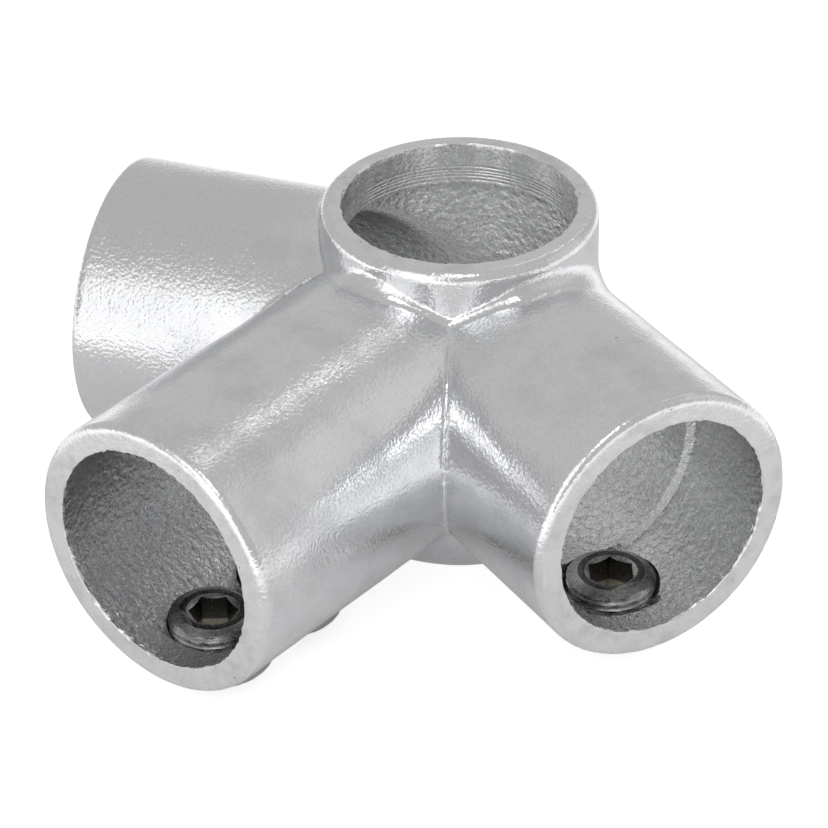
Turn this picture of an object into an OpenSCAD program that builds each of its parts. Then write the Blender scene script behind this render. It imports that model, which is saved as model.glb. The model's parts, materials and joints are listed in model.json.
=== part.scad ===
/* [Collar] */
// Bore of the two turned bands that guide the through tube
through_bore_d = 44; // [43:0.1:45]
// Outside diameter of the collar
collar_d = 52.4; // [51.4:0.1:53.4]
// Height of the collar from rim to rim
collar_h = 65.9; // [60:0.2:90]
// Width of each turned band
turned_band = 8.6; // [4:0.1:9]
// Rounding of the outer edge of each rim
collar_round = 2; // [0.5:0.1:2.2]

/* [Sockets] */
// Bore of the bands that grip a tube end
socket_bore_d = 43; // [42.6:0.1:44.4]
// Outside diameter of the sockets
socket_d = 53.6; // [52.6:0.1:58]
// Centre to mouth of the two side sockets
side_socket_l = 69.6; // [68:0.2:110]
// Centre to mouth of the middle socket
post_socket_l = 87.8; // [86:0.2:140]
// Angle between the middle socket and each side socket
spread = 70; // [60:0.5:80]
// Width of the band at the mouth
mouth_band = 5.8; // [3:0.1:6.5]
// Distance from the centre to the inner band
inner_band_start = 38.5; // [37:0.1:40]
// Width of the inner band
inner_band = 6.5; // [3:0.1:7]

/* [Casting] */
// Diameter of the cored hollow between the bands
core_d = 46.4; // [45.4:0.1:47]
// Length of the slope from a band down into the cored hollow
band_slope = 0.6; // [0.3:0.1:1.2]
// Rounding of the outer edge of each socket's mouth
rim_round = 1.7; // [0.5:0.1:2]
// Bevel of the inner edge of each mouth
rim_bevel = 0.3; // [0.1:0.05:0.6]
// Radius of the fillet where the collar rises out of the sockets
root_fillet = 3.5; // [2:0.1:4.5]

/* [Bosses] */
// Diameter of the pads that the screws pass through
boss_d = 21.4; // [20.4:0.1:24]
// Height of the pads above the outside of a socket
boss_h = 3; // [1.5:0.1:5]
// Rounding of the outer edge of a pad
boss_round = 0.8; // [0.3:0.1:1.2]

/* [Set screws] */
// Outside diameter of the thread
screw_d = 16.6; // [14:0.1:17]
// Length of a screw
screw_l = 10; // [8.5:0.1:14]
// Distance between two turns of the thread
thread_pitch = 1.337; // [1:0.001:1.6]
// Depth of the thread
thread_depth = 0.75; // [0.4:0.05:0.9]
// Gap between the thread's crest and its hole, on the radius
screw_gap = 0.05; // [0.03:0.01:0.1]
// Distance of a side socket's screw from its mouth
side_screw_from_mouth = 16.6; // [15.8:0.1:18]
// Distance of the middle socket's outer screw from its mouth
post_screw_from_mouth = 15.4; // [15:0.1:18]
// Distance between the two screws of the middle socket
post_screw_pitch = 19.4; // [18:0.1:22]
// How far a socket's screw stands out of its band towards the tube
screw_reach = 2.1; // [0.5:0.1:4]
// How far the collar's screw is backed out of its bore
collar_screw_back = 0.2; // [0.1:0.1:2]
// Distance across the flats of the hexagon
hexagon_af = 8; // [6:0.1:9]
// Diameter of the countersink at the screw's tip
countersink_d = 11.6; // [11.2:0.1:12]
// Diameter of the flat ring at the screw's tip
tip_d = 12.3; // [12.1:0.1:13]
// Height of the slope between the ring and the thread
tip_slope = 0.9; // [0.5:0.1:1.5]

/* [Hidden] */

$fn = 96;
post_turn = -90;
right_turn = post_turn + spread;
left_turn = post_turn - spread;
back_turn = post_turn + 180;
collar_r = collar_d / 2;
socket_r = socket_d / 2;
core_r = core_d / 2;
boss_face = socket_r + boss_h;
side_screw_at = side_socket_l - side_screw_from_mouth;
post_outer_at = post_socket_l - post_screw_from_mouth;
post_inner_at = post_outer_at - post_screw_pitch;
socket_screw_tip = socket_bore_d / 2 - screw_reach;
collar_screw_tip = through_bore_d / 2 + collar_screw_back;
// Length by which a cut runs past the face that it opens
past = 1;
// Turn of each socket about its own axis, which keeps its start line clear of the screws and the fillet
seam_turn = 45;
// The fillet runs round the collar in stations, and each one is an arc of a few points
fillet_stations = 72;
fillet_arc = 6;
// Depth by which the fillet's edges run into the surfaces that it joins
fillet_bite = 0.15;

// Lays a shape that stands on the Z axis along a socket that points to an angle in the plane
module along(turn) {
    rotate([0, 0, turn]) rotate([0, 90, 0]) rotate([0, 0, seam_turn]) children();
}

// Puts a screw or a pad under a socket, at a distance from the centre, with its axis straight down
module under(turn, at) {
    rotate([0, 0, turn]) translate([at, 0, 0]) rotate([180, 0, 0]) children();
}

// Turns a screw or a pad to the back of the collar, with its axis level
module behind() {
    rotate([0, 0, back_turn]) rotate([0, 90, 0]) children();
}

// A round bar with a rounded edge at its far end
module rounded_bar(r, l, round) {
    rotate_extrude() {
        square([r - round, l]);
        square([r, l - round]);
        translate([r - round, l - round]) circle(round);
    }
}

// The hollow between two bands, with a slope at each end
module hollow(band_r, from, to) {
    translate([0, 0, from]) cylinder(band_slope, band_r, core_r);
    translate([0, 0, from + band_slope]) cylinder(to - from - 2 * band_slope, r = core_r);
    translate([0, 0, to - band_slope]) cylinder(band_slope, core_r, band_r);
}

// The bevel that opens a bore at its mouth
module mouth_bevel(bore_r, l) {
    translate([0, 0, l - rim_bevel]) cylinder(rim_bevel + past, bore_r, bore_r + rim_bevel + past);
}

module socket_outside(l) {
    rounded_bar(socket_r, l, rim_round);
}

// Everything that the core leaves open in a socket, from the centre out
module socket_inside(l) {
    bore_r = socket_bore_d / 2;
    cylinder(inner_band_start - band_slope, r = core_r);
    translate([0, 0, inner_band_start - band_slope]) cylinder(band_slope, core_r, bore_r);
    translate([0, 0, inner_band_start - past]) cylinder(l - inner_band_start + 2 * past, r = bore_r);
    hollow(bore_r, inner_band_start + inner_band, l - mouth_band);
    mouth_bevel(bore_r, l);
}

module collar_outside() {
    for (side = [0, 1]) mirror([0, 0, side]) rounded_bar(collar_r, collar_h / 2, collar_round);
}

module collar_inside() {
    bore_r = through_bore_d / 2;
    cylinder(collar_h + 2 * past, r = bore_r, center = true);
    hollow(bore_r, turned_band - collar_h / 2, collar_h / 2 - turned_band);
    for (side = [0, 1]) mirror([0, 0, side]) mouth_bevel(bore_r, collar_h / 2);
}

module boss() {
    rounded_bar(boss_d / 2, boss_face, boss_round);
}

module screw_hole() {
    cylinder(boss_face + past, r = screw_d / 2 + screw_gap);
}

module at_each_screw() {
    under(right_turn, side_screw_at) children();
    under(left_turn, side_screw_at) children();
    under(post_turn, post_outer_at) children();
    under(post_turn, post_inner_at) children();
    behind() children();
}

// The fillet is the track of a ball that rolls round the collar and rests on the sockets, and on the round back
function unit(a) = [cos(a), sin(a), 0];
function wrapped(a) = a - 360 * round(a / 360);
// The socket whose axis lies nearest to an angle
function nearest_turn(a) = abs(wrapped(a - post_turn)) <= spread / 2 ? post_turn
    : wrapped(a - post_turn) > 0 ? right_turn : left_turn;
function ball_centre(a, off) =
    (collar_r + root_fillet) * unit(a)
    + [0, 0, sqrt(pow(socket_r + root_fillet, 2) - pow((collar_r + root_fillet) * sin(off), 2))];
// The point of a socket's axis that the ball stands over, which is the centre all round the back
function foot(a, off) = (collar_r + root_fillet) * cos(off) * unit(nearest_turn(a));
function fillet_section(a) =
    let (off = min(abs(wrapped(a - nearest_turn(a))), 90),
         c = ball_centre(a, off),
         f = foot(a, off),
         to_collar = -unit(a),
         to_socket = (f - c) / norm(f - c),
         sweep = acos(to_collar * to_socket),
         square_to = (to_socket - cos(sweep) * to_collar) / sin(sweep),
         arc = [for (i = [0:fillet_arc - 1]) let (b = sweep * i / (fillet_arc - 1))
                c + root_fillet * (cos(b) * to_collar + sin(b) * square_to)],
         corner = c + (root_fillet + 2 * fillet_bite) * (to_collar + to_socket)
                / norm(to_collar + to_socket) / cos(sweep / 2))
    concat([arc[0] + fillet_bite * to_collar],
           [for (i = [1:fillet_arc - 2]) arc[i]],
           [arc[fillet_arc - 1] + fillet_bite * to_socket, corner]);

module root_fillet_ring() {
    n = fillet_arc + 1;
    rings = [for (i = [0:fillet_stations - 1]) fillet_section(360 * i / fillet_stations)];
    points = [for (r = rings) for (p = r) p];
    faces = [for (i = [0:fillet_stations - 1]) for (j = [0:n - 1])
        let (k = (i + 1) % fillet_stations, m = (j + 1) % n)
        each [[i * n + j, i * n + m, k * n + j], [i * n + m, k * n + m, k * n + j]]];
    polyhedron(points, faces);
}

module connector_body() {
    color("silver") difference() {
        union() {
            collar_outside();
            sphere(socket_r);
            along(right_turn) socket_outside(side_socket_l);
            along(left_turn) socket_outside(side_socket_l);
            along(post_turn) socket_outside(post_socket_l);
            for (side = [0, 1]) mirror([0, 0, side]) root_fillet_ring();
            at_each_screw() boss();
        }
        collar_inside();
        along(right_turn) socket_inside(side_socket_l);
        along(left_turn) socket_inside(side_socket_l);
        along(post_turn) socket_inside(post_socket_l);
        at_each_screw() screw_hole();
    }
}

// Outline of a screw from its tip down, with the thread as turned ridges
function thread_outline(r) = [
    for (z = [tip_slope:thread_pitch:screw_l - tip_slope - thread_pitch])
        each [[r, z], [r, z + thread_pitch / 4], [r - thread_depth, z + thread_pitch * 5 / 8]]];

// A screw with its axis on Z and its tip at a distance from the origin, turned to an angle
module set_screw(tip, turn) {
    r = screw_d / 2;
    hexagon_r = hexagon_af / 2 / cos(30);
    countersink_depth = (countersink_d - hexagon_af) / 2 * tan(30);
    outline = concat([[0, 0], [tip_d / 2, 0]], thread_outline(r),
                     [[r, screw_l - tip_slope], [r - tip_slope, screw_l], [0, screw_l]]);
    color("dimgray") translate([0, 0, tip]) rotate([0, 0, turn]) difference() {
        rotate_extrude() polygon(outline);
        translate([0, 0, -past]) cylinder(screw_l + 2 * past, r = hexagon_r, $fn = 6);
        translate([0, 0, -past]) cylinder(
            past + countersink_depth, countersink_d / 2 + past / tan(30), hexagon_af / 2);
    }
}

module set_screw_right() {
    under(right_turn, side_screw_at) set_screw(socket_screw_tip, 30);
}

module set_screw_left() {
    under(left_turn, side_screw_at) set_screw(socket_screw_tip, 10);
}

module set_screw_post_outer() {
    under(post_turn, post_outer_at) set_screw(socket_screw_tip, 50);
}

module set_screw_post_inner() {
    under(post_turn, post_inner_at) set_screw(socket_screw_tip, 20);
}

module set_screw_collar() {
    behind() set_screw(collar_screw_tip, 0);
}

connector_body();
set_screw_right();
set_screw_post_outer();
set_screw_post_inner();
set_screw_left();
set_screw_collar();
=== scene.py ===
import json
import math

import bmesh
import bpy
import numpy as np
from mathutils import Matrix, Vector


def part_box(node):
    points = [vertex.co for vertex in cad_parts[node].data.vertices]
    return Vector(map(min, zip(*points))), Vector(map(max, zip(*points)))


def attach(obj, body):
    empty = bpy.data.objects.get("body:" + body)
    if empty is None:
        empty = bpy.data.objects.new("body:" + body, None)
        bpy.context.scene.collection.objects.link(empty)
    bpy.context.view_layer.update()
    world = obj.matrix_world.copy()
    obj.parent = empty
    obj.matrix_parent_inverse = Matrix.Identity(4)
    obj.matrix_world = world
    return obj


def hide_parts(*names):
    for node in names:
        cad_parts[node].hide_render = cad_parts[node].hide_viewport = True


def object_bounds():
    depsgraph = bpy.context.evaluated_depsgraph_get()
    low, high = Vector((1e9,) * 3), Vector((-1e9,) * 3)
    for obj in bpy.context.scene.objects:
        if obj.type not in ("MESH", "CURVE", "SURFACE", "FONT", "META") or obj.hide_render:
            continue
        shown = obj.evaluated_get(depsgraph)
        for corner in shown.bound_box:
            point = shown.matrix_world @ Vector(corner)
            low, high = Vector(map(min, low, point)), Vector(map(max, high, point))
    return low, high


bl_info = {
    "name": "Tube connector",
    "version": (1, 0, 0),
    "blender": (4, 5, 0),
    "location": "View3D > Sidebar > Connector",
    "description": "Builds a galvanised tube connector, its set screws and a plain studio",
    "category": "Add Mesh",
}

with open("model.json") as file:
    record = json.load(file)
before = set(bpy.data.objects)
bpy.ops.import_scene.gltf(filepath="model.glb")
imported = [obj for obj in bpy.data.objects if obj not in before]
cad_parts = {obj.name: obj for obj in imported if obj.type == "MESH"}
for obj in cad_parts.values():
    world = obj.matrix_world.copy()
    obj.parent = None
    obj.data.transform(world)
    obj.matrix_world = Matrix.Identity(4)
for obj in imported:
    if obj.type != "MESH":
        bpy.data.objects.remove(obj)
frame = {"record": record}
CAD_BOX = [list(corner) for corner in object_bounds()]
MOUNTS = {mount["name"]: mount for mount in frame["record"]["mounts"]}

# A millimetre in metres. The casting's forms are worked out in millimetres
MM = 0.001
# Material slots of the casting
SKIN, HOLLOW, BAND, RIM, TAPPED = range(5)
# The way that the collar's axis points
UP = np.array([0.0, 0.0, 1.0])
# How far past the iron a cutter reaches, in millimetres, and how many sides a bore has
CLEAR, BORE_SEGMENTS = 1.0, 320
# How ragged each row of a lip is, as a share of the lip's raggedness
LIP_SHARES = (0.35, 0.7, 1.0, 1.0)


def length(name, description, millimetres):
    return bpy.props.FloatProperty(
        name=name, description=description, default=millimetres * MM, min=0.0, subtype="DISTANCE",
        unit="LENGTH", precision=5)


def share(name, description, value, top=1.0):
    return bpy.props.FloatProperty(name=name, description=description, default=value, min=0.0, max=top)


def colour(name, description, value):
    return bpy.props.FloatVectorProperty(
        name=name, description=description, default=value, subtype="COLOR", size=3, min=0.0, max=1.0)


def angle(name, description, degrees):
    return bpy.props.FloatProperty(
        name=name, description=description, default=math.radians(degrees), subtype="ANGLE", unit="ROTATION")


class CastingSizes(bpy.types.PropertyGroup):
    collar_radius: length("Collar radius", "Outside radius of the collar", 26.2)
    collar_band: length("Collar band", "Width of each turned band in the collar", 8.6)
    collar_round: length("Collar rounding", "Radius of the outer edge of each rim of the collar", 2.3)
    socket_radius: length("Socket radius", "Outside radius of the sockets", 26.8)
    mouth_band: length("Mouth band", "Width of the band at a socket's mouth", 5.8)
    inner_band_start: length("Inner band start", "Distance from the centre to the inner band", 38.5)
    inner_band: length("Inner band", "Width of the inner band", 6.5)
    hollow_radius: length("Hollow radius", "Radius of the cored hollow between the bands", 23.2)
    band_slope: length("Band slope", "Length of the slope from a band into the hollow", 0.6)
    rim_round: length("Rim rounding", "Radius of the outer edge of each mouth", 1.7)
    core_blend: length("Core blend", "Rounding where the cored hollows run into each other", 1.8)
    core_round: length("Core rounding", "Rounding at the end of a cored hollow", 1.2)
    lip: length("Lip", "Mean width of the ragged zinc lip at each mouth", 0.45)
    lip_rag: length("Lip raggedness", "Depth of the lip's notches", 0.2)
    root_fillet: length("Root fillet", "Fillet where the collar's flanks rise out of the sockets", 3.5)
    throat_fillet: length("Throat fillet", "Fillet under the collar, between two sockets", 1.2)
    crease_fillet: length("Crease fillet", "Fillet where two sockets meet", 1.0)
    boss_radius: length("Boss radius", "Radius of the pads round the screws", 10.9)
    boss_round: length("Boss rounding", "Radius of a pad's outer edge", 0.8)
    boss_fillet: length("Boss fillet", "Fillet at the foot of a pad", 0.4)
    unevenness: length("Unevenness", "Depth of the casting's slow waves", 0.07)
    seam_bead: length("Seam bead", "Radius of the bead left by the mould in each crease", 0.48)
    mesh_cell: length("Mesh cell", "Size of the faces of the casting's skin", 0.82)


class ScrewSizes(bpy.types.PropertyGroup):
    radius: length("Radius", "Radius of the thread's crest", 8.3)
    thread_pitch: length("Pitch", "Distance between two turns of the thread", 1.337)
    thread_depth: length("Thread depth", "Depth of the thread", 0.75)
    hexagon: length("Hexagon", "Distance across the flats of the key's hexagon", 8.0)
    countersink: length("Countersink", "Radius of the countersink at the tip", 4.95)
    tip_radius: length("Tip radius", "Radius of the flat ring at the tip", 6.25)
    tip_slope: length("Tip slope", "Height of the slope between the ring and the thread", 0.9)
    hole_gap: length("Hole gap", "Gap between the thread's crest and its hole", 0.05)
    hole_mouth: length("Hole mouth", "Radius of a tapped hole where it opens inside", 9.1)
    mouth_depth: length("Mouth depth", "Depth of the wide mouth of a tapped hole", 0.7)


class ZincFinish(bpy.types.PropertyGroup):
    zinc: colour("Zinc", "Colour of the zinc where it is clean", (0.80, 0.805, 0.815))
    dull_zinc: colour("Dull zinc", "Colour of the zinc where it has dulled", (0.66, 0.665, 0.675))
    # Painted light: the zinc in the hollows and bands is painted lighter than the zinc outside, as light in the
    # hollows
    hollow_zinc: colour("Hollow zinc", "Colour of the zinc in the hollows", (0.84, 0.845, 0.85))
    roughness: share("Roughness", "Roughness of the zinc on the outside", 0.15)
    sand_grain: length("Sand grain", "Size of the sand-cast grain", 0.66)
    grain_depth: length("Grain depth", "Depth of the sand-cast grain", 0.2)


class ScrewFinish(bpy.types.PropertyGroup):
    steel: colour("Steel", "Colour of the screws' oiled steel", (0.48, 0.468, 0.46))
    # Painted light: the brownish light on the far walls deep in the key's hexagon
    oil: colour("Oil", "Colour of the oily light deep in the key's hexagon", (0.40, 0.37, 0.31))
    roughness: share("Roughness", "Roughness of the screws", 0.27)


class StudioSettings(bpy.types.PropertyGroup):
    azimuth: angle("Azimuth", "Turn of the camera from the front of the middle socket", 39.494)
    elevation: angle("Elevation", "Height of the camera above the horizon", 33.571)
    roll: angle("Roll", "Turn of the camera about its own axis", -0.816)
    distance: length("Distance", "Distance of the camera", 740.04)
    aim_left: length("Aim left", "How far left of the centre the camera aims", 8.82)
    aim_down: length("Aim down", "How far under the centre the camera aims", 12.23)
    lens: bpy.props.FloatProperty(
        name="Lens", description="Focal length on a 36 mm sensor", default=168.2, unit="CAMERA")
    floor: colour("Floor", "Colour of the floor", (0.86, 0.86, 0.86))
    floor_glow: share("Floor glow", "Light that the floor adds for the camera, so that it shows white", 0.74)
    floor_sheen: share("Floor sheen", "Light that the floor under the part adds in what reflects it", 0.13)
    # Inside the stand the floor's painted reflection is dim; past it, and on the card strip, it is brighter
    stand: length("Stand", "Radius of the duller floor round the part", 168.0)
    edge_sheen: share("Edge sheen", "Light that the floor adds in reflections just past the stand", 0.45, 3.0)
    far_sheen: share("Far sheen", "Light that the floor adds in reflections far out", 0.25)
    card_sheen: share("Card sheen", "Light that a pale card in front of the part adds in what reflects it", 0.62)
    surround: share("Surround", "Strength of the light from all round", 0.59, 10.0)


def settings():
    return bpy.context.scene.connector


# Distances to the forms of the casting, in millimetres

def unit(v):
    v = np.asarray(v, float)
    return v / np.linalg.norm(v)


def bar(points, axis, low, high, radius, rounding):
    """Distance to a round bar along an axis through the origin, with rounded edges."""
    along = points @ axis
    across = np.sqrt(np.maximum((points ** 2).sum(1) - along ** 2, 0.0))
    out = across - radius + rounding
    past = np.abs(along - (low + high) / 2) - (high - low) / 2 + rounding
    outward = np.hypot(np.maximum(out, 0), np.maximum(past, 0))
    return np.minimum(np.maximum(out, past), 0.0) + outward - rounding


def filleted(a, b, radius):
    """Distance to two joined forms, with a fillet in the corner between them."""
    corner = np.hypot(np.maximum(radius - a, 0.0), np.maximum(radius - b, 0.0))
    return np.maximum(radius, np.minimum(a, b)) - corner


def waves(points, wavelength, seed, count=14):
    """Smooth seeded noise between about -1 and 1, as a sum of waves in all directions."""
    rng = np.random.default_rng(seed)
    directions = rng.normal(size=(count, points.shape[1]))
    directions /= np.linalg.norm(directions, axis=1)[:, None]
    speeds = rng.uniform(0.7, 1.4, count)
    phases = rng.uniform(0, 2 * math.pi, count)
    total = np.zeros(len(points))
    for direction, speed, phase in zip(directions, speeds, phases):
        total += np.sin(points @ direction * (2 * math.pi * speed / wavelength) + phase)
    return total / math.sqrt(count) / 1.3


class Casting:
    """The casting's sizes in millimetres, and the distances to its forms."""

    # The distance from the centre to a pad's face, along its screw, and how deep a pad reaches
    pad_face, pad_depth = 29.8, 14.0
    # How far a socket's bar starts behind the centre
    socket_start = -0.5
    # How fast the fillet under the collar grows away from a throat, as 1 less the cosine of the turn
    throat_spread = 0.12

    def __init__(self, sizes):
        for name in sizes.__annotations__:
            setattr(self, name, getattr(sizes, name) / MM)
        low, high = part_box("connector_body")
        self.low, self.high = np.array(low) / MM, np.array(high) / MM
        self.collar_half = self.high[2]
        self.collar_bore = MOUNTS["through_bore"]["dims"]["r_mm"]
        self.sockets = {}
        for name in ("right_socket", "post_socket", "left_socket"):
            mount = MOUNTS[name]
            mouth = np.linalg.norm(mount["pos_m"]) / MM + self.mouth_band / 2
            self.sockets[name] = (unit(mount["axis"]), mouth, mount["dims"]["r_mm"])
        self.screws = screw_places()

    def creases(self):
        """The middle direction between each side socket and the middle one."""
        post = self.sockets["post_socket"][0]
        return [unit(post + self.sockets[side][0]) for side in ("right_socket", "left_socket")]

    def outside(self, points):
        """Distance to the sockets, the collar and the pads, joined with fillets."""
        arms = None
        for axis, mouth, _ in self.sockets.values():
            arm = bar(points, axis, self.socket_start, mouth, self.socket_radius, self.rim_round)
            arms = arm if arms is None else filleted(arms, arm, self.crease_fillet)
        # A ball closes the sockets' starts at the back
        ball = np.linalg.norm(points, axis=1) - self.socket_radius
        arms = np.minimum(arms, ball)
        collar = bar(points, UP, -self.collar_half, self.collar_half, self.collar_radius, self.collar_round)
        body = filleted(arms, collar, self.collar_fillet(points))
        pads = None
        for centre, axis in self.pads():
            pad = bar(points - centre, axis, -self.pad_depth, 0.0, self.boss_radius, self.boss_round)
            pads = pad if pads is None else np.minimum(pads, pad)
        return filleted(body, pads, self.boss_fillet)

    def collar_fillet(self, points):
        """Radius of the fillet round the collar: small in the two throats and large at the flanks."""
        ring = points[:, :2] / np.maximum(np.linalg.norm(points[:, :2], axis=1), 1e-6)[:, None]
        nearness = np.maximum.reduce([ring @ crease[:2] for crease in self.creases()])
        flank = np.clip((1.0 - nearness) / self.throat_spread, 0.0, 1.0)
        flank = flank * flank * (3 - 2 * flank)
        return self.throat_fillet + (self.root_fillet - self.throat_fillet) * flank

    def pads(self):
        """The centre of each pad's face and the way that it faces."""
        for at, _, axis in self.screws.values():
            centre = np.array(at) / MM
            yield centre - axis * (centre @ axis) + axis * self.pad_face, axis

    def core(self, points):
        """Distance to the cored hollow inside, where the sockets run into the collar."""
        reach = self.collar_half - self.collar_band
        space = bar(points, UP, -reach, reach, self.hollow_radius, self.core_round)
        for axis, _, _ in self.sockets.values():
            branch = bar(points, axis, self.socket_start, self.inner_band_start, self.hollow_radius,
                         self.core_round)
            space = filleted(space, branch, self.core_blend)
        uneven = np.clip(0.5 + 0.4 * waves(points, wavelength=9.0, seed=21), 0.0, 1.0)
        return space - self.unevenness * 0.8 * uneven

    def skin(self, points):
        """Distance to the outside as cast, with its slow waves, which only go inwards."""
        slow = waves(points, wavelength=19.0, seed=11) + 0.5 * waves(points, wavelength=8.0, seed=12)
        return self.outside(points) + self.unevenness * np.clip(0.5 + 0.4 * slow, 0.0, 1.2)


def screw_places():
    """Each screw's tip in metres, its hexagon's turn in degrees and the way from its tip to its outer end."""
    places = {}
    turns = {"right": -50, "post_outer": -140, "post_inner": -110, "left": -170, "collar": 0}
    for name, turn in turns.items():
        low, high = (np.array(corner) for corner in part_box("set_screw_" + name))
        middle = (low + high) / 2
        if name == "collar":
            places[name] = ((middle[0], low[1], middle[2]), turn, np.array([0.0, 1.0, 0.0]))
        else:
            places[name] = ((middle[0], middle[1], high[2]), turn, np.array([0.0, 0.0, -1.0]))
    return places


def slope_of(distance, points, step=0.02):
    """Unit gradient of a distance, which is the outward normal of its surface."""
    slope = np.empty_like(points)
    for i in range(3):
        shift = np.zeros(3)
        shift[i] = step
        slope[:, i] = distance(points + shift) - distance(points - shift)
    return slope / np.maximum(np.linalg.norm(slope, axis=1), 1e-12)[:, None]


def settled(distance, points, rounds=4):
    """Points moved onto the surface of a distance along its gradient."""
    for _ in range(rounds):
        points = points - slope_of(distance, points) * distance(points)[:, None]
    return points


def stepped(at, axes, steps):
    """The grid cells that lie a step or none back along each of two axes, as an index."""
    cells = at.copy()
    for axis, step in zip(axes, steps):
        cells[:, axis] -= step
    return tuple(cells.T)


def surface_net(distance, low, high, cell):
    """Corners and quads along a distance's zero level, with one corner in each grid cell that it crosses."""
    counts = np.ceil((high - low) / cell).astype(int) + 1
    ticks = [low[i] + cell * np.arange(counts[i]) for i in range(3)]
    grid = np.stack(np.meshgrid(*ticks, indexing="ij"), -1)
    values = distance(grid.reshape(-1, 3)).reshape(counts)
    total = np.zeros(tuple(counts - 1) + (3,))
    hits = np.zeros(tuple(counts - 1), int)
    edges = []
    for axis in range(3):
        first, second = [slice(None)] * 3, [slice(None)] * 3
        first[axis], second[axis] = slice(None, -1), slice(1, None)
        a, b = values[tuple(first)], values[tuple(second)]
        at = np.argwhere((a < 0) != (b < 0))
        va, vb = a[tuple(at.T)], b[tuple(at.T)]
        crossing = low + cell * at
        crossing[:, axis] += cell * va / (va - vb)
        edges.append((axis, at, va < 0))
        others = [i for i in range(3) if i != axis]
        for steps in ((0, 0), (0, 1), (1, 0), (1, 1)):
            owner = stepped(at, others, steps)
            np.add.at(total, owner, crossing)
            np.add.at(hits, owner, 1)
    crossed = hits > 0
    index = np.full(hits.shape, -1)
    index[crossed] = np.arange(crossed.sum())
    corners = total[crossed] / hits[crossed][:, None]
    quads = []
    for axis, at, outward in edges:
        others = ((axis + 1) % 3, (axis + 2) % 3)
        ring = np.stack([index[stepped(at, others, steps)] for steps in ((1, 1), (0, 1), (0, 0), (1, 0))], 1)
        ring[~outward] = ring[~outward][:, ::-1]
        quads.append(ring)
    return corners, np.concatenate(quads)


def placed(name, data):
    """A new object in the scene, from a mesh, a lamp or a camera."""
    obj = bpy.data.objects.new(name, data)
    bpy.context.scene.collection.objects.link(obj)
    return obj


def mesh_object(name, corners, faces, materials=(), indices=None):
    """A Blender object from corners in millimetres and faces of any size."""
    mesh = bpy.data.meshes.new(name)
    if isinstance(faces, np.ndarray):
        faces = faces.tolist()
    mesh.from_pydata((np.asarray(corners) * MM).tolist(), [], faces)
    for material in materials:
        mesh.materials.append(material)
    if indices is not None:
        mesh.polygons.foreach_set("material_index", np.asarray(indices, np.int32))
    mesh.update()
    return placed(name, mesh)


def turned(name, profile, segments, axis, origin, materials, wobble=None):
    """A closed turned solid.

    A profile row is a radius, a height along the axis and the slot of the face above it.
    """
    axis = unit(axis)
    side = unit(np.cross(axis, UP if abs(axis[2]) < 0.9 else [1.0, 0.0, 0.0]))
    other = np.cross(axis, side)
    angles = 2 * math.pi * np.arange(segments) / segments
    ring = np.outer(np.cos(angles), side) + np.outer(np.sin(angles), other)
    corners, faces, indices = [], [], []
    for row, (radius, height, _) in enumerate(profile):
        radii = np.full(segments, float(radius))
        if wobble is not None:
            radii = radii + wobble(row, angles)
        corners.append(origin + axis * height + ring * radii[:, None])
    for row in range(len(profile) - 1):
        for i in range(segments):
            j = (i + 1) % segments
            a, b = row * segments, (row + 1) * segments
            faces.append((a + i, a + j, b + j, b + i))
            indices.append(profile[row][2])
    corners.append([origin + axis * profile[0][1], origin + axis * profile[-1][1]])
    low, high = len(profile) * segments, len(profile) * segments + 1
    last = (len(profile) - 1) * segments
    for i in range(segments):
        j = (i + 1) % segments
        faces.append((low, j, i))
        faces.append((high, last + i, last + j))
        indices += [profile[0][2], profile[-1][2]]
    return mesh_object(name, np.concatenate(corners), faces, materials, indices)


def lip_wobble(shares, seed, depth):
    """Makes some rows of a bore ragged by their shares of a depth, as zinc leaves an edge."""
    radius = 22.0

    def wobble(row, angles):
        if row not in shares:
            return 0.0
        circle = np.stack([np.cos(angles), np.sin(angles)], 1) * radius
        coarse = waves(circle, wavelength=6.0, seed=seed + row)
        fine = waves(circle, wavelength=2.2, seed=seed + 50)
        return depth * shares[row] * (0.6 * coarse + 0.8 * fine)
    return wobble


def lip_rows(bore, edge, lip):
    """The last rows of a bore's profile: round a lip at its edge, and clear of the iron beyond."""
    return [(bore, edge - 1.2 * lip, RIM), (bore + 0.35 * lip, edge - 0.45 * lip, RIM),
            (bore + lip, edge, RIM), (bore + lip + CLEAR, edge + CLEAR, RIM)]


def socket_core(casting, name, materials):
    """What the core leaves open in one socket."""
    axis, mouth, bore = casting.sockets[name]
    hollow, slope, lip = casting.hollow_radius, casting.band_slope, casting.lip
    start = 20.0
    end = casting.inner_band_start + casting.inner_band
    band = mouth - casting.mouth_band
    profile = [(bore, start, HOLLOW), (bore, end, HOLLOW), (hollow, end + slope, HOLLOW),
               (hollow, band - slope, HOLLOW), (bore, band, HOLLOW), (bore, mouth - 3 * lip, HOLLOW)]
    shares = dict(enumerate(LIP_SHARES, len(profile)))
    profile += lip_rows(bore, mouth, lip)
    seed = 100 + 10 * list(casting.sockets).index(name)
    return turned(name + "_core", profile, BORE_SEGMENTS, axis, np.zeros(3), materials,
                  lip_wobble(shares, seed, casting.lip_rag))


def collar_core(casting, materials):
    """What the turning leaves open in the collar."""
    half, bore, lip = casting.collar_half, casting.collar_bore, casting.lip
    into_hollow = 3.0
    upper = [(bore, half - casting.collar_band - into_hollow, BAND), (bore, half - 3 * lip, BAND)]
    upper += lip_rows(bore, half, lip)
    lower = [(radius, -height, upper[max(i - 1, 0)][2]) for i, (radius, height, _) in enumerate(upper)][::-1]
    shares = {**dict(enumerate(reversed(LIP_SHARES))), **dict(enumerate(LIP_SHARES, len(lower) + 2))}
    return turned("collar_core", lower + upper, BORE_SEGMENTS, UP, np.zeros(3), materials,
                  lip_wobble(shares, 300, casting.lip_rag))


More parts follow.
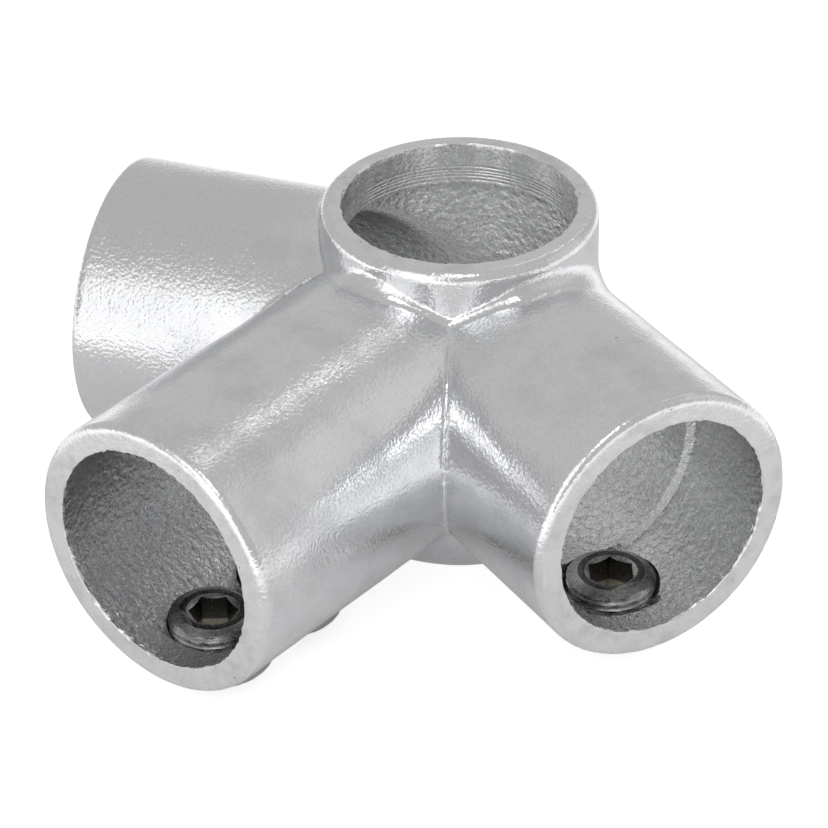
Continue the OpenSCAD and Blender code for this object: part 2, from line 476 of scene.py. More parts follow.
def hollow_core(casting, materials):
    """The cored hollow, whose parts run into each other without an edge."""
    cell = casting.mesh_cell * 1.6
    reach = casting.inner_band_start + casting.hollow_radius
    low = np.array([-reach, -reach, -casting.collar_half])
    high = np.array([reach, casting.hollow_radius, casting.collar_half])
    corners, quads = surface_net(casting.core, low - 2 * cell, high + 2 * cell, cell)
    corners = settled(casting.core, corners)
    return mesh_object("hollow_core", corners, quads, materials, np.full(len(quads), HOLLOW))


def screw_hole(casting, name, materials, screw):
    """A screw's tapped hole, with a bevel at its pad and, in the side sockets, a wide mouth inside."""
    at, _, axis = casting.screws[name]
    centre = np.array(at) / MM
    tip = centre @ axis
    radius = (screw.radius + screw.hole_gap) / MM
    mouth, depth = screw.hole_mouth / MM, screw.mouth_depth / MM
    before_tip, bevel, narrow_mouth = 5.0, 0.5, 0.3
    if name not in ("right", "left"):
        mouth = radius + narrow_mouth
    inside, face = casting.hollow_radius - tip, casting.pad_face - tip
    profile = [(mouth, -before_tip, TAPPED), (mouth, inside - depth, TAPPED),
               (radius, inside - depth * 0.3, TAPPED), (radius, face - bevel, SKIN),
               (radius + bevel, face, SKIN), (radius + (bevel + CLEAR), face + CLEAR, SKIN)]
    return turned("hole_" + name, profile, 96, axis, centre, materials)


def crease_bead(casting, crease, materials, seed):
    """The thin, ragged bead of iron that the mould leaves in a crease, which runs out at both ends."""
    sides, sink, ragged, end_share = 10, 0.2, 0.25, 0.04
    crease_length, wavelength = 97.0, 5.0
    radius = casting.seam_bead
    path = settled(casting.outside, crease_path(casting, crease))
    normals = slope_of(casting.outside, path)
    along = np.gradient(path, axis=0)
    along /= np.linalg.norm(along, axis=1)[:, None]
    across = np.cross(along, normals)
    across /= np.linalg.norm(across, axis=1)[:, None]
    normals = np.cross(across, along)
    count = len(path)
    run = np.arange(count) / (count - 1)
    taper = np.clip(np.minimum(run, 1 - run) / end_share, 0.0, 1.0)
    distance = np.stack([run * crease_length, run * 0], 1)
    taper = taper * (1 + ragged * waves(distance, wavelength, seed))
    size = radius * np.clip(taper, 0.05, 2.0)
    centre = path - normals * (sink + 0.6 * (radius - np.minimum(size, radius)))[:, None]
    rows, faces = [], []
    for i in range(sides):
        a = 2 * math.pi * i / sides
        rows.append(centre + size[:, None] * (math.cos(a) * across + math.sin(a) * normals))
    corners = np.stack(rows, 1).reshape(-1, 3)
    for row in range(count - 1):
        for i in range(sides):
            j = (i + 1) % sides
            a, b = row * sides, (row + 1) * sides
            faces.append((a + i, b + i, b + j, a + j))
    faces.append(tuple(range(sides)))
    faces.append(tuple((count - 1) * sides + i for i in reversed(range(sides))))
    obj = mesh_object("crease_bead", corners, faces, materials)
    turn_outwards(obj.data)
    return obj


def turn_outwards(mesh):
    """Turns a closed mesh's faces outwards."""
    work = bmesh.new()
    work.from_mesh(mesh)
    bmesh.ops.recalc_face_normals(work, faces=work.faces)
    work.to_mesh(mesh)
    work.free()


def crease_path(casting, crease):
    """The line where two sockets meet, from over the top to the underside."""
    stations, off_collar = 140, 0.1
    post = casting.sockets["post_socket"][0]
    spread = math.sin(math.acos(float(np.clip(crease @ post, -1, 1))))
    reach = casting.socket_radius / spread
    first = math.asin((casting.collar_radius + off_collar) / reach)
    angles = np.linspace(first, math.pi - first, stations)
    return np.array([crease * reach * math.sin(a) + UP * casting.socket_radius * math.cos(a) for a in angles])


def combined(obj, others, operation):
    """An object with others cut from it or joined to it, as a new mesh."""
    for other in others:
        step = obj.modifiers.new(other.name, "BOOLEAN")
        step.operation = operation
        step.solver = "MANIFOLD"
        step.object = other
    deps = bpy.context.evaluated_depsgraph_get()
    mesh = bpy.data.meshes.new_from_object(obj.evaluated_get(deps), preserve_all_data_layers=True,
                                           depsgraph=deps)
    obj.modifiers.clear()
    old = obj.data
    obj.data = mesh
    bpy.data.meshes.remove(old)
    for other in others:
        data = other.data
        bpy.data.objects.remove(other)
        bpy.data.meshes.remove(data)


def face_values(mesh, name, width, kind=float):
    """One attribute of all the faces of a mesh as an array."""
    values = np.empty(len(mesh.polygons) * width, kind)
    mesh.polygons.foreach_get(name, values)
    return values.reshape(-1, width) if width > 1 else values


def mark_rims(mesh, casting):
    """Gives the flat end faces of the sockets and the collar their own material."""
    facing, depth = 0.94, 0.6
    centres = face_values(mesh, "center", 3) / MM
    normals = face_values(mesh, "normal", 3)
    slots = face_values(mesh, "material_index", 1, np.int32)
    ends = [(axis, mouth) for axis, mouth, _ in casting.sockets.values()]
    ends += [(UP * way, casting.collar_half) for way in (1, -1)]
    for axis, reach in ends:
        flat = (normals @ axis > facing) & (centres @ axis > reach - depth)
        slots[flat & (slots == SKIN)] = RIM
    mesh.polygons.foreach_set("material_index", slots)


def shade_as_cast(obj, casting):
    """Smooth shading with the skin's own normals, and sharp edges elsewhere."""
    on_skin, sharp_degrees = 0.02, 32
    mesh = obj.data
    mesh.shade_smooth()
    mesh.set_sharp_from_angle(angle=math.radians(sharp_degrees))
    corners = np.empty(len(mesh.vertices) * 3)
    mesh.vertices.foreach_get("co", corners)
    corners = corners.reshape(-1, 3) / MM
    loops = np.empty(len(mesh.loops), np.int64)
    mesh.loops.foreach_get("vertex_index", loops)
    slots = face_values(mesh, "material_index", 1, np.int32)
    sizes = face_values(mesh, "loop_total", 1, np.int32)
    face_normals = face_values(mesh, "normal", 3)
    near = np.abs(casting.skin(corners)) < on_skin
    of_face = np.repeat(np.arange(len(slots)), sizes)
    normals = slope_of(casting.skin, corners)[loops]
    agree = (normals * face_normals[of_face]).sum(1) > 0.5
    keep = np.isin(slots[of_face], (SKIN, RIM)) & near[loops] & agree
    normals[~keep] = 0.0
    mesh.normals_split_custom_set(normals.tolist())


# Materials

class Tree:
    """A small helper that adds nodes to a node tree and links them."""

    def __init__(self, tree):
        self.tree = tree

    def add(self, kind, inputs=None, **choices):
        """A new node. An input is given as a value or as the output that feeds it."""
        node = self.tree.nodes.new(kind)
        for key, value in choices.items():
            setattr(node, key, value)
        for key, value in (inputs or {}).items():
            self.fill(node.inputs[key], value)
        return node

    def fill(self, socket, value):
        if isinstance(value, bpy.types.NodeSocket):
            self.tree.links.new(value, socket)
        elif socket.type == "RGBA":
            socket.default_value = (*value, 1.0)
        else:
            socket.default_value = value

    def math(self, operation, a, b=0.0, c=0.0):
        return self.add("ShaderNodeMath", {0: a, 1: b, 2: c}, operation=operation).outputs[0]


class Material(Tree):
    """A material's node tree, with its textures in the object's own coordinates."""

    def __init__(self, name, shader="ShaderNodeBsdfPrincipled"):
        self.material = bpy.data.materials.new(name)
        self.material.use_nodes = True
        super().__init__(self.material.node_tree)
        self.tree.nodes.clear()
        self.out = self.add("ShaderNodeOutputMaterial")
        self.shader = self.add(shader)
        self.fill(self.out.inputs["Surface"], self.shader.outputs[0])
        self.place = self.add("ShaderNodeTexCoord").outputs["Object"]

    def coordinate(self, axis):
        return self.add("ShaderNodeSeparateXYZ", {0: self.place}).outputs[axis]

    def scaled(self, size_mm):
        """Object coordinates in which one unit is a size in millimetres."""
        scale = [1.0 / (size_mm * MM)] * 3
        return self.add("ShaderNodeMapping", {"Vector": self.place, "Scale": scale}).outputs[0]

    def noise(self, size_mm, detail=2.0, rough=0.5, distortion=0.0):
        return self.add("ShaderNodeTexNoise", {"Vector": self.scaled(size_mm), "Scale": 1.0, "Detail": detail,
                                               "Roughness": rough, "Distortion": distortion}).outputs["Fac"]

    def ramp(self, value, low, high, to_low=0.0, to_high=1.0):
        return self.add("ShaderNodeMapRange", {"Value": value, "From Min": low, "From Max": high,
                                               "To Min": to_low, "To Max": to_high},
                        interpolation_type="SMOOTHSTEP").outputs[0]

    def mix(self, factor, a, b):
        node = self.add("ShaderNodeMix", data_type="RGBA")
        self.fill(node.inputs[0], factor)
        self.fill(node.inputs[6], a)
        self.fill(node.inputs[7], b)
        return node.outputs[2]

    def bump(self, height, depth_mm, strength=1.0, normal=None):
        inputs = {"Height": height, "Distance": depth_mm * MM, "Strength": strength}
        if normal is not None:
            inputs["Normal"] = normal
        return self.add("ShaderNodeBump", inputs).outputs[0]

    def roughness(self, texture, finish, less, more):
        """The finish's roughness, with less of it where a texture is low and more where it is high."""
        return self.ramp(texture, 0.3, 0.7, finish.roughness + less, finish.roughness + more)

    def metal(self, tone, rough, normal, metallic=1.0):
        return self.finish(Base_Color=tone, Metallic=metallic, Roughness=rough, Normal=normal)

    def finish(self, **inputs):
        for key, value in inputs.items():
            self.fill(self.shader.inputs[key.replace("_", " ")], value)
        return self.material


def pits(nodes, size_mm, share_of_cells, radius):
    """Small round pits: 1 inside a pit, in a share of the cells."""
    cell = nodes.add("ShaderNodeTexVoronoi",
                     {"Vector": nodes.scaled(size_mm), "Scale": 1.0, "Randomness": 1.0}).outputs
    near = nodes.ramp(cell["Distance"], radius * 0.5, radius, 1.0, 0.0)
    draw = nodes.add("ShaderNodeSeparateColor", {0: cell["Color"]}).outputs[0]
    return nodes.math("MULTIPLY", near, nodes.math("LESS_THAN", draw, share_of_cells))


def on_pads(nodes, casting):
    """1 on the screws' pads, which is where the skin stands out low on a socket, away from the collar."""
    top, least_from_axis, just_out, well_out = -18 * MM, 34 * MM, 0.25, 0.45
    out = None
    for axis, _, _ in casting.sockets.values():
        away = nodes.add("ShaderNodeVectorMath", {0: nodes.place, 1: axis}, operation="CROSS_PRODUCT")
        span = nodes.add("ShaderNodeVectorMath", {0: away.outputs[0]}, operation="LENGTH").outputs["Value"]
        out = span if out is None else nodes.math("MINIMUM", out, span)
    pads = nodes.ramp(out, (casting.socket_radius + just_out) * MM, (casting.socket_radius + well_out) * MM)
    x, y = nodes.coordinate(0), nodes.coordinate(1)
    from_axis = nodes.math("SQRT", nodes.math("MULTIPLY_ADD", x, x, nodes.math("MULTIPLY", y, y)))
    pads = nodes.math("MULTIPLY", pads, nodes.math("GREATER_THAN", from_axis, least_from_axis))
    return nodes.math("MULTIPLY", pads, nodes.math("LESS_THAN", nodes.coordinate(2), top))


def zinc_skin(finish, casting):
    """Hot-dip zinc over a sand-cast skin: soft patches, a sandy grain and a few pinholes, with painted shade in
    the pinholes, on the pads and on the left socket.
    """
    fleck, pad, pinhole_shade = (0.5, 0.505, 0.515), (0.45, 0.455, 0.465), (0.2, 0.2, 0.2)
    nodes = Material("zinc_skin")
    grain = nodes.noise(finish.sand_grain / MM, 1.0, 0.4, 0.3)
    fine = nodes.noise(finish.sand_grain / MM * 0.33, 2.0, 0.6)
    swell = nodes.noise(7.0, 1.0, 0.4)
    patches = nodes.noise(14.0, 4.0, 0.6)
    clouds = nodes.noise(3.0, 3.0, 0.6)
    flecks = nodes.noise(0.5, 2.0, 0.6)
    pinholes = pits(nodes, 5.0, 0.2, 0.05)
    # The left socket's zinc is painted darker, which is painted shade, and its grain is sandier
    left_from, left_to = -20 * MM, -34 * MM
    leftward = nodes.ramp(nodes.coordinate(0), left_to, left_from, 1.0, 0.0)
    dull_and_shade = nodes.math("MULTIPLY", nodes.ramp(patches, 0.42, 0.7), 0.8)
    dull_and_shade = nodes.math("MAXIMUM", dull_and_shade, nodes.math("MULTIPLY", leftward, 0.55))
    tone = nodes.mix(dull_and_shade, finish.zinc, finish.dull_zinc)
    tone = nodes.mix(nodes.ramp(clouds, 0.45, 0.75, 0.0, 0.25), tone, finish.dull_zinc)
    tone = nodes.mix(nodes.ramp(flecks, 0.42, 0.66, 0.0, 0.2), tone, fleck)
    # Painted shade: the pads' walls are painted darker, for the shadow under the part that they reflect
    tone = nodes.mix(on_pads(nodes, casting), tone, pad)
    # Painted shade: the pinholes are painted dark
    tone = nodes.mix(pinholes, tone, pinhole_shade)
    rough = nodes.roughness(patches, finish, -0.05, 0.07)
    rough = nodes.math("ADD", rough, nodes.ramp(fine, 0.3, 0.7, -0.03, 0.05))
    sandy = nodes.math("MULTIPLY_ADD", leftward, 0.35, 0.5)
    sandy = nodes.math("MULTIPLY", sandy, nodes.ramp(patches, 0.35, 0.65, 0.7, 1.0))
    normal = nodes.bump(swell, 0.03)
    normal = nodes.bump(grain, finish.grain_depth / MM, sandy, normal)
    normal = nodes.bump(fine, finish.grain_depth / MM * 0.1, sandy, normal)
    normal = nodes.bump(nodes.math("SUBTRACT", 1.0, pinholes), 0.1, 1.0, normal)
    return nodes.metal(tone, rough, normal)


def zinc_hollow(finish):
    """The cored inside: rougher and less glossy, with its zinc painted lighter as painted light."""
    nodes = Material("zinc_hollow")
    grain = nodes.noise(1.25, 3.0, 0.5, 0.4)
    fine = nodes.noise(0.5, 2.0, 0.6)
    patches = nodes.noise(9.0, 3.0, 0.6)
    # Painted light: the hollow's zinc is lighter than the zinc outside
    tone = nodes.mix(nodes.ramp(patches, 0.35, 0.7), finish.hollow_zinc, finish.zinc)
    normal = nodes.bump(grain, 0.42)
    normal = nodes.bump(fine, 0.05, 1.0, normal)
    rough = nodes.roughness(fine, finish, 0.06, 0.18)
    return nodes.metal(tone, rough, normal)


def zinc_rim(finish):
    """The end faces: finer than the skin, with small pits painted dark as painted shade."""
    pit_shade = (0.12, 0.12, 0.12)
    nodes = Material("zinc_rim")
    grain = nodes.noise(0.7, 3.0, 0.6)
    coarse = nodes.noise(2.6, 2.0, 0.5)
    patches = nodes.noise(5.0, 3.0, 0.6)
    tone = nodes.mix(nodes.ramp(patches, 0.4, 0.75), finish.zinc, finish.dull_zinc)
    # Painted shade: the pits are painted dark
    tone = nodes.mix(pits(nodes, 2.6, 0.3, 0.08), tone, pit_shade)
    rough = nodes.roughness(grain, finish, 0.06, 0.16)
    normal = nodes.bump(coarse, 0.08)
    normal = nodes.bump(grain, 0.07, 1.0, normal)
    return nodes.metal(tone, rough, normal)


def tapped_iron(finish):
    """The tapped holes: dark and rough, with a grain in two darker tones, and less metallic than the zinc."""
    nodes = Material("tapped_iron")
    grain = nodes.noise(0.5, 3.0, 0.6)
    dark = [value * 0.3 for value in finish.steel]
    darker = [value * 0.6 for value in dark]
    tone = nodes.mix(nodes.ramp(grain, 0.35, 0.7), dark, darker)
    normal = nodes.bump(grain, 0.1)
    return nodes.metal(tone, 0.55, normal, 0.7)


def zinc_band(finish):
    """The bands that guide the tube: smoother, with fine rings from the turning tool in the collar."""
    ring_depths, ring_core, ring_edge = (5.1, 5.9, 6.5, 7.2, 8.0), 0.05, 0.28
    nodes = Material("zinc_band")
    grain = nodes.noise(0.8, 3.0, 0.55)
    patches = nodes.noise(6.0, 3.0, 0.6)
    # Painted light: the bands take the hollows' lighter zinc
    tone = nodes.mix(nodes.ramp(patches, 0.35, 0.7), finish.hollow_zinc, finish.zinc)
    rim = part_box("connector_body")[1][2]
    below_rim = nodes.math("SUBTRACT", rim, nodes.math("ABSOLUTE", nodes.coordinate(2)))
    worn = nodes.ramp(nodes.noise(7.0, 2.0, 0.6), 0.3, 0.6, 0.35, 1.0)
    groove = 0.0
    for depth in ring_depths:
        off = nodes.math("ABSOLUTE", nodes.math("SUBTRACT", below_rim, depth * MM))
        groove = nodes.math("ADD", groove, nodes.ramp(off, ring_core * MM, ring_edge * MM, 1.0, 0.0))
    groove = nodes.math("MULTIPLY", groove, worn)
    normal = nodes.bump(grain, 0.16)
    normal = nodes.bump(nodes.math("SUBTRACT", 1.0, groove), 0.09, 1.0, normal)
    rough = nodes.roughness(grain, finish, 0.05, 0.17)
    return nodes.metal(tone, rough, normal)


def screw_steel(finish):
    """Dark oiled steel with a fine turned grain. The key's walls are painted dark as painted shade, with a
    painted brownish light deep down.
    """
    key_wall, deep_light_from, deep_light_to = (0.09, 0.088, 0.085), 4.9 * MM, 5.4 * MM
    nodes = Material("screw_steel")
    cloud = nodes.noise(2.2, 3.0, 0.6)
    fine = nodes.noise(0.35, 2.0, 0.6)
    dark = [value * 0.6 for value in finish.steel]
    tone = nodes.mix(nodes.ramp(cloud, 0.35, 0.7), finish.steel, dark)
    depth = nodes.add("ShaderNodeAttribute", attribute_name="depth").outputs["Fac"]
    in_key = nodes.add("ShaderNodeAttribute", attribute_name="key_wall").outputs["Fac"]
    # Painted shade on the key's walls, and painted light on them deep down
    inside = nodes.mix(nodes.ramp(depth, deep_light_from, deep_light_to), key_wall, finish.oil)
    tone = nodes.mix(in_key, tone, inside)
    rough = nodes.roughness(fine, finish, -0.06, 0.08)
    normal = nodes.bump(fine, 0.015)
    return nodes.metal(tone, rough, normal)


# The set screws as a node tree

def screw_tree(sizes, material, screw_length):
    """A node tree that puts one threaded screw on each point of its input."""
    nodes = Tree(bpy.data.node_groups.new("set_screw_on_points", "GeometryNodeTree"))
    face = nodes.tree.interface
    face.new_socket("Points", in_out="INPUT", socket_type="NodeSocketGeometry")
    values = {"Radius": sizes.radius, "Length": screw_length, "Pitch": sizes.thread_pitch,
              "Thread Depth": sizes.thread_depth, "Hexagon": sizes.hexagon, "Countersink": sizes.countersink,
              "Tip Radius": sizes.tip_radius, "Tip Slope": sizes.tip_slope}
    for name in values:
        socket = face.new_socket(name, in_out="INPUT", socket_type="NodeSocketFloat")
        socket.subtype = "DISTANCE"
    face.new_socket("Screws", in_out="OUTPUT", socket_type="NodeSocketGeometry")
    given = nodes.add("NodeGroupInput").outputs
    result = nodes.add("NodeGroupOutput")
    maths = nodes.math
    crest, long, pitch, thread_depth, hexagon, countersink, tip_radius, tip_slope = (
        given[name] for name in values)

    def lifted(mesh, height):
        shift = nodes.add("ShaderNodeCombineXYZ", {2: height}).outputs[0]
        return nodes.add("GeometryNodeTransform", {"Geometry": mesh, "Translation": shift}).outputs[0]

    def cylinder(vertices, steps, radius, depth):
        """A bar whose middle lies half a screw under the tip."""
        inputs = {"Vertices": vertices, "Side Segments": steps, "Radius": radius, "Depth": depth}
        mesh = nodes.add("GeometryNodeMeshCylinder", inputs, fill_type="NGON").outputs["Mesh"]
        return lifted(mesh, maths("MULTIPLY", long, -0.5))

    # A plain bar with its tip at the origin, which the thread is cut into
    plain = cylinder(96, 110, 1.0, long)
    position = nodes.add("GeometryNodeInputPosition").outputs[0]
    x, y, z = nodes.add("ShaderNodeSeparateXYZ", {0: position}).outputs
    deep = maths("MULTIPLY", z, -1.0)
    turns = maths("DIVIDE", maths("ARCTAN2", y, x), 2 * math.pi)
    phase = maths("FRACT", maths("ADD", maths("DIVIDE", deep, pitch), turns))
    valley = maths("ABSOLUTE", maths("SUBTRACT", maths("MULTIPLY", phase, 2.0), 1.0))
    valley = maths("SUBTRACT", maths("MULTIPLY", valley, 1.3), 0.15)
    valley = maths("MINIMUM", maths("MAXIMUM", valley, 0.0), 1.0)
    thread = maths("SUBTRACT", crest, maths("MULTIPLY", valley, thread_depth))
    slope = maths("DIVIDE", maths("SUBTRACT", crest, tip_radius), tip_slope)
    tip = maths("ADD", tip_radius, maths("MULTIPLY", deep, slope))
    end = maths("ADD", maths("SUBTRACT", crest, tip_slope), maths("SUBTRACT", long, deep))
    radius = maths("MINIMUM", thread, maths("MINIMUM", tip, end))
    threaded = nodes.add("ShaderNodeCombineXYZ",
                         {0: maths("MULTIPLY", x, radius), 1: maths("MULTIPLY", y, radius), 2: z}).outputs[0]
    cut = nodes.add("GeometryNodeSetPosition", {"Geometry": plain, "Position": threaded})

    # The hexagon right through, and the countersink at its mouth
    corner = maths("DIVIDE", hexagon, 2 * math.cos(math.radians(30)))
    key = cylinder(6, 1, corner, maths("MULTIPLY", long, 1.5))
    past_tip, inside_flat, widening = 1.0 * MM, 0.2 * MM, math.sqrt(3.0)
    narrow = maths("SUBTRACT", maths("MULTIPLY", hexagon, 0.5), inside_flat)
    cone_depth = maths("ADD", maths("DIVIDE", maths("SUBTRACT", countersink, narrow), widening), past_tip)
    wide = maths("ADD", countersink, past_tip * widening)
    cone = nodes.add("GeometryNodeMeshCone", {"Vertices": 80, "Radius Top": wide, "Radius Bottom": narrow,
                                              "Depth": cone_depth})
    sunk = lifted(cone.outputs["Mesh"], maths("SUBTRACT", past_tip, cone_depth))
    pierce = nodes.add("GeometryNodeMeshBoolean", {"Mesh 1": cut.outputs[0], "Mesh 2": sunk},
                       operation="DIFFERENCE", solver="MANIFOLD")
    nodes.fill(pierce.inputs["Mesh 2"], key)

    # What the steel's material reads: the depth under the tip, and which faces are the hexagon's walls
    across = maths("SQRT", maths("ADD", maths("MULTIPLY", x, x), maths("MULTIPLY", y, y)))
    walls = maths("LESS_THAN", across, maths("MULTIPLY", hexagon, 0.55))
    marked = pierce.outputs["Mesh"]
    for name, domain, value in (("depth", "POINT", deep), ("key_wall", "FACE", walls)):
        marked = nodes.add("GeometryNodeStoreNamedAttribute",
                           {"Geometry": marked, "Name": name, "Value": value},
                           data_type="FLOAT", domain=domain).outputs[0]

    # One screw on each point, turned as the point says
    turn = nodes.add("GeometryNodeInputNamedAttribute", {"Name": "turn"}, data_type="FLOAT_VECTOR")
    rotation = nodes.add("FunctionNodeEulerToRotation", {0: turn.outputs["Attribute"]})
    place = nodes.add("GeometryNodeInstanceOnPoints", {"Points": given["Points"], "Instance": marked,
                                                       "Rotation": rotation.outputs[0]})
    real = nodes.add("GeometryNodeRealizeInstances", {0: place.outputs[0]})
    smooth = nodes.add("GeometryNodeSetShadeSmooth", {0: real.outputs[0]})
    paint = nodes.add("GeometryNodeSetMaterial", {0: smooth.outputs[0], "Material": material})
    nodes.fill(result.inputs[0], paint.outputs[0])
    return nodes.tree, values


class CONNECTOR_OT_casting(bpy.types.Operator):
    """Build the casting: its skin, its cored hollows, the turned bands and the tapped holes"""
    bl_idname = "connector.casting"
    bl_label = "Casting"

    def execute(self, context):
        chosen = settings()
        casting = Casting(chosen.casting)
        materials = [zinc_skin(chosen.zinc, casting), zinc_hollow(chosen.zinc), zinc_band(chosen.zinc),
                     zinc_rim(chosen.zinc), tapped_iron(chosen.steel)]
        cell = casting.mesh_cell
        margin = 2.5 * cell
        corners, quads = surface_net(casting.outside, casting.low - margin, casting.high + margin, cell)
        corners = settled(casting.outside, corners)
        corners = settled(casting.skin, corners, 2)
        body = mesh_object("connector_casting", corners, quads, materials)
        beads = [crease_bead(casting, crease, materials, seed)
                 for seed, crease in enumerate(casting.creases(), 40)]
        combined(body, beads, "UNION")
        cores = [socket_core(casting, name, materials) for name in casting.sockets]
        cores += [hollow_core(casting, materials), collar_core(casting, materials)]
        cores += [screw_hole(casting, name, materials, chosen.screw) for name in casting.screws]
        combined(body, cores, "DIFFERENCE")
        mark_rims(body.data, casting)
        shade_as_cast(body, casting)
        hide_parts("connector_body")
        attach(body, "root")
        return {"FINISHED"}


class CONNECTOR_OT_set_screws(bpy.types.Operator):
    """Build the five set screws with their real threads and hexagons"""
    bl_idname = "connector.set_screws"
    bl_label = "Set screws"

    def execute(self, context):
        chosen = settings()
        places = screw_places()
        low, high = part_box("set_screw_right")
        tree, values = screw_tree(chosen.screw, screw_steel(chosen.steel), high[2] - low[2])
        points = bpy.data.meshes.new("screw_points")
        points.from_pydata([at for at, _, _ in places.values()], [], [])
        turns = points.attributes.new("turn", "FLOAT_VECTOR", "POINT")
        for i, (_, turn, way) in enumerate(places.values()):
            upright = Vector((0, 0, -1)).rotation_difference(Vector(way)).to_matrix()
            turns.data[i].vector = (upright @ Matrix.Rotation(math.radians(turn), 3, "Z")).to_euler()
        carrier = placed("screw_points", points)
        modifier = carrier.modifiers.new("screws", "NODES")
        modifier.node_group = tree
        for item in tree.interface.items_tree:
            if item.item_type == "SOCKET" and item.name in values:
                modifier[item.identifier] = values[item.name]
        deps = context.evaluated_depsgraph_get()
        mesh = bpy.data.meshes.new_from_object(carrier.evaluated_get(deps))
        carrier.modifiers.clear()
        bpy.data.objects.remove(carrier)
        if len(mesh.polygons) == 0:
            raise RuntimeError("the screws' node tree gave no faces")
        mesh.name = "set_screws"
        mesh.set_sharp_from_angle(angle=math.radians(38))
        screws = placed("set_screws", mesh)
        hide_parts(*("set_screw_" + name for name in places))
        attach(screws, "root")
        return {"FINISHED"}


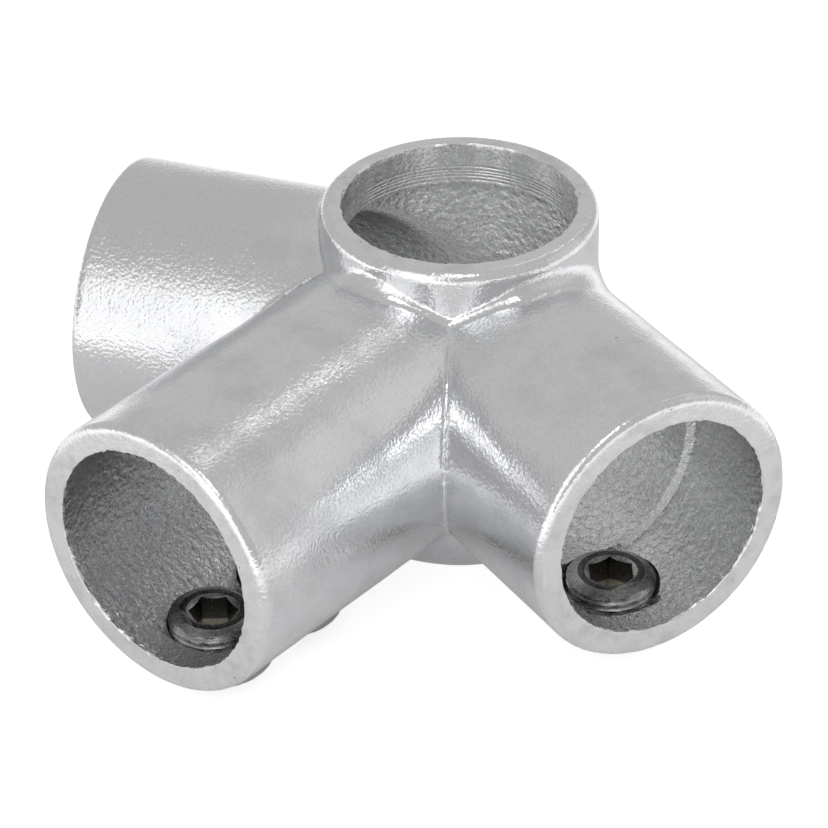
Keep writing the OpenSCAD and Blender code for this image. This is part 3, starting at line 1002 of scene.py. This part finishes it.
class CONNECTOR_OT_studio(bpy.types.Operator):
    """Build the floor, the soft lamps and the camera"""
    bl_idname = "connector.studio"
    bl_label = "Studio"

    def execute(self, context):
        chosen = settings().studio
        context.scene.view_settings.view_transform = "Standard"
        self.floor(chosen)
        self.surround(context, chosen)
        self.lamps()
        self.camera(context, chosen)
        return {"FINISHED"}

    def floor(self, chosen):
        """The floor, just under the part. What the zinc reflects of it changes with the distance: the floor adds
        a painted reflection, a glow that only reflections see, brighter past the stand and on a strip in front.
        """
        half, level = 3.0, CAD_BOX[0][2] - 0.02 * MM
        stand, stand_centre = chosen.stand, (0.008, -0.016, 0.0)
        card_start, card_end = -0.165, -0.205
        mesh = bpy.data.meshes.new("studio_floor")
        corners = [(-half, -half, level), (half, -half, level), (half, half, level), (-half, half, level)]
        mesh.from_pydata(corners, [], [(0, 1, 2, 3)])
        nodes = Material("studio_floor", "ShaderNodeBsdfDiffuse")
        out_to = nodes.add("ShaderNodeVectorMath", {0: nodes.place, 1: stand_centre},
                           operation="DISTANCE").outputs["Value"]
        # Painted reflection: past the stand, and on a strip in front like a pale card, the floor glows for
        # reflections only
        beyond = nodes.ramp(out_to, stand, stand * 1.08)
        fading = nodes.ramp(out_to, stand, stand * 4.0, chosen.edge_sheen, chosen.far_sheen)
        card = nodes.ramp(nodes.coordinate(1), card_end, card_start, 1.0, 0.0)
        sheen = nodes.math("MAXIMUM", nodes.math("MULTIPLY", beyond, fading),
                           nodes.math("MULTIPLY", card, chosen.card_sheen))
        sheen = nodes.math("ADD", sheen, chosen.floor_sheen)
        path = nodes.add("ShaderNodeLightPath")
        sheen = nodes.math("MULTIPLY", sheen, path.outputs["Is Glossy Ray"])
        glow = nodes.math("MULTIPLY_ADD", path.outputs["Is Camera Ray"], chosen.floor_glow, sheen)
        lit = nodes.add("ShaderNodeEmission", {"Strength": glow})
        both = nodes.add("ShaderNodeAddShader", {0: nodes.shader.outputs[0], 1: lit.outputs[0]})
        nodes.fill(nodes.out.inputs["Surface"], both.outputs[0])
        mesh.materials.append(nodes.finish(Color=chosen.floor))
        floor = placed("studio_floor", mesh)

    def surround(self, context, chosen):
        """Even light from all round, which the camera sees as white."""
        world = bpy.data.worlds.new("studio")
        context.scene.world = world
        world.use_nodes = True
        nodes = Tree(world.node_tree)
        path = nodes.add("ShaderNodeLightPath")
        span = nodes.add("ShaderNodeMapRange", {"Value": path.outputs["Is Camera Ray"],
                                                "To Min": chosen.surround, "To Max": 1.0})
        back = nodes.tree.nodes["Background"]
        nodes.fill(back.inputs["Color"], (1.0, 1.0, 1.0))
        nodes.fill(back.inputs["Strength"], span.outputs[0])

    def lamps(self):
        """Soft boxes: name, turn and height in degrees, distance, width and tallness in metres, radiance."""
        boxes = [
            ("left_box", 90, 18, 1.2, 0.85, 1.45, 0.28),
            ("left_heart", 84, 22, 1.1, 0.80, 0.90, 0.50),
            ("front_box", 52, 58, 1.2, 0.30, 0.45, 2.2),
            ("rear_strip", -89, 52, 1.3, 0.020, 0.80, 3.8),
            ("right_box", -46, 22, 1.2, 0.90, 1.00, 0.13),
        ]
        for name, turn, height, distance, width, tall, radiance in boxes:
            a, e = math.radians(turn), math.radians(height)
            way = Vector((math.cos(e) * math.cos(a), -math.cos(e) * math.sin(a), math.sin(e)))
            data = bpy.data.lights.new(name, "AREA")
            data.shape = "RECTANGLE"
            data.size, data.size_y = width, tall
            data.energy = radiance * math.pi * width * tall
            lamp = placed(name, data)
            lamp.location = way * distance
            lamp.rotation_euler = way.to_track_quat("Z", "Y").to_euler()
            lamp.visible_camera = False

    def camera(self, context, chosen):
        a, e = chosen.azimuth, chosen.elevation
        back = Vector((math.sin(a) * math.cos(e), -math.cos(a) * math.cos(e), math.sin(e)))
        right = (-back).cross(Vector((0, 0, 1))).normalized()
        up = right.cross(-back)
        turned_right = math.cos(chosen.roll) * right + math.sin(chosen.roll) * up
        turned_up = -math.sin(chosen.roll) * right + math.cos(chosen.roll) * up
        data = bpy.data.cameras.new("camera")
        data.lens = chosen.lens
        data.sensor_width = 36.0
        camera = placed("camera", data)
        aim = -turned_right * chosen.aim_left - turned_up * chosen.aim_down
        place = Matrix((turned_right, turned_up, back)).transposed().to_4x4()
        place.translation = aim + back * chosen.distance
        camera.matrix_world = place
        context.scene.camera = camera


class CONNECTOR_PT_panel(bpy.types.Panel):
    """The connector's pieces and sizes"""
    bl_idname = "CONNECTOR_PT_panel"
    bl_label = "Tube connector"
    bl_space_type = "VIEW_3D"
    bl_region_type = "UI"
    bl_category = "Connector"

    def draw(self, context):
        chosen = settings()
        for operator, group in (
                ("connector.casting", chosen.casting), ("connector.set_screws", chosen.screw),
                (None, chosen.zinc), (None, chosen.steel), ("connector.studio", chosen.studio)):
            box = self.layout.box()
            for name in group.__annotations__:
                box.prop(group, name)
            if operator:
                box.operator(operator)


class ConnectorSettings(bpy.types.PropertyGroup):
    casting: bpy.props.PointerProperty(type=CastingSizes, name="Casting", description="Sizes of the casting")
    screw: bpy.props.PointerProperty(type=ScrewSizes, name="Screws", description="Sizes of the set screws")
    zinc: bpy.props.PointerProperty(type=ZincFinish, name="Zinc", description="Finish of the casting")
    steel: bpy.props.PointerProperty(type=ScrewFinish, name="Steel", description="Finish of the set screws")
    studio: bpy.props.PointerProperty(type=StudioSettings, name="Studio", description="Camera, floor, light")


CLASSES = (CastingSizes, ScrewSizes, ZincFinish, ScrewFinish, StudioSettings, ConnectorSettings,
           CONNECTOR_OT_casting, CONNECTOR_OT_set_screws, CONNECTOR_OT_studio, CONNECTOR_PT_panel)


def register():
    for each in CLASSES:
        bpy.utils.register_class(each)
    bpy.types.Scene.connector = bpy.props.PointerProperty(type=ConnectorSettings)


def unregister():
    del bpy.types.Scene.connector
    for each in reversed(CLASSES):
        bpy.utils.unregister_class(each)


def main():
    register()
    bpy.ops.connector.studio()
    bpy.ops.connector.casting()
    bpy.ops.connector.set_screws()


if __name__ == "__main__":
    main()
